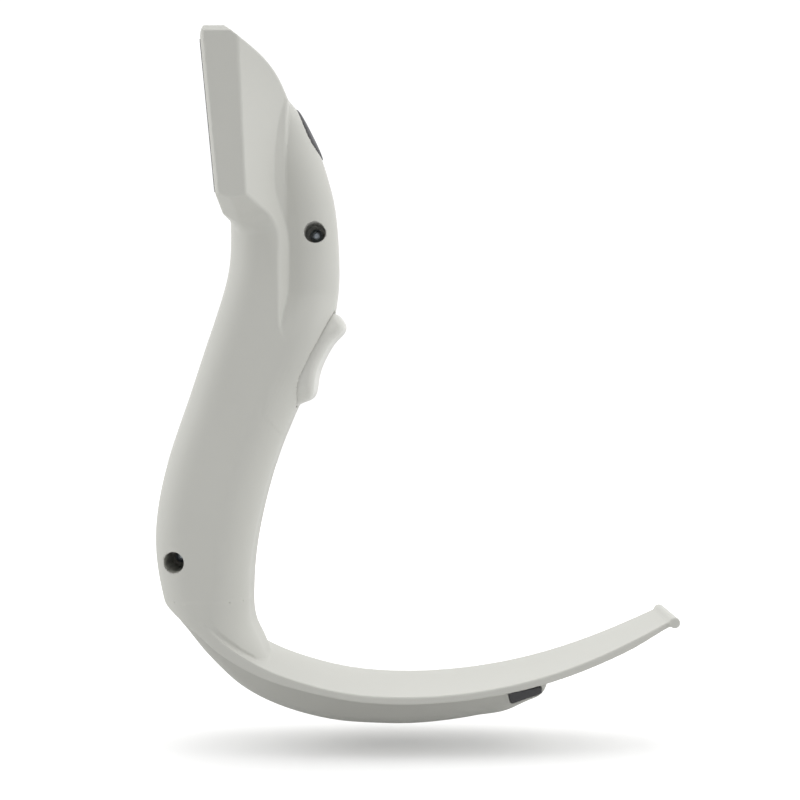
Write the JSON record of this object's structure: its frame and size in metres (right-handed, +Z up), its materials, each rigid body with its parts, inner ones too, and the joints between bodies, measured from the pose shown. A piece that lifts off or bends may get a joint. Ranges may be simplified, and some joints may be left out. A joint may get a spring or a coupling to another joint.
{
  "type": "handheld 3d scanner",
  "caption": "Handheld 3D scanner with a flat front window, a pistol-style grip with a thumb trigger, and a long curved forearm rest.",
  "frame": {"origin": "bottom centre of the whole object's box", "axes": "+Z up, -X where the window looks, +X where the forearm rest reaches, +Y to the user's right"},
  "size_m": [0.1906, 0.072, 0.246],
  "materials": {
    "casing": "fine matte texture, warm light grey",
    "trigger": "satin, warm light grey",
    "pad": "dark matte elastomer",
    "button": "dark matte elastomer",
    "plug": "dark matte elastomer",
    "window": "dark tinted, polished",
    "lens": "coated, polished",
    "seal": "foam gasket",
    "inner_plastic": "moulded black",
    "optics_metal": "black anodised",
    "screw": "zinc plated",
    "insert": "knurled",
    "pin": "ground",
    "spring": "drawn wire",
    "board": "green solder mask",
    "contact": "nickel plated",
    "cell": "shrink sleeve",
    "cable": "matte jacket"
  },
  "bodies": {
    "casing": {"left_shell": "casing", "right_shell": "casing", "case_screws": "screw", "case_inserts": "insert", "front_window": "window", "window_seal": "seal", "optics_frame": "optics_metal", "optics_screws": "screw", "left_camera": "inner_plastic", "right_camera": "inner_plastic", "camera_lenses": "lens", "pattern_projector": "inner_plastic", "projector_lens": "lens", "led_board": "board", "main_board": "board", "board_screws": "screw", "control_pad": "pad", "control_board": "board", "control_switch": "inner_plastic", "trigger_pin": "pin", "trigger_spring": "spring", "trigger_board": "board", "trigger_switch": "inner_plastic", "battery_cell": "cell", "battery_holder": "inner_plastic", "battery_contacts": "contact", "arm_blade": "casing", "arm_rib": "casing", "arm_screws": "screw", "port_socket": "contact", "port_board": "board", "port_cable": "cable"},
    "trigger": {"thumb_trigger": "trigger"},
    "trigger_switch_plunger": {"trigger_plunger": "inner_plastic"},
    "button": {"control_button": "button"},
    "button_switch_plunger": {"control_plunger": "inner_plastic"},
    "plug": {"port_plug": "plug"}
  },
  "joints": [
    {"name": "trigger_press", "type": "hinge", "parent": "casing", "child": "trigger", "pos_m": [-0.0385, 0, 0.1465], "axis": [0, 1, 0], "range_deg": [0, 6]},
    {"name": "trigger_switch_press", "type": "slide", "parent": "casing", "child": "trigger_switch_plunger", "axis": [-1, 0, 0], "range_m": [0, 0.0013]},
    {"name": "button_press", "type": "slide", "parent": "casing", "child": "button", "axis": [-0.8926, 0, -0.4509], "range_m": [0, 0.0008]},
    {"name": "button_switch_press", "type": "slide", "parent": "casing", "child": "button_switch_plunger", "axis": [-0.8926, 0, -0.4509], "range_m": [0, 0.0008]},
    {"name": "plug_pull", "type": "slide", "parent": "casing", "child": "plug", "axis": [0, -1, 0], "range_m": [0, 0.012]}
  ],
  "couplings": [
    {"joint": "trigger_switch_press", "follows": "trigger_press", "m_per_rad": 0.0115},
    {"joint": "button_switch_press", "follows": "button_press", "ratio": 1}
  ]
}
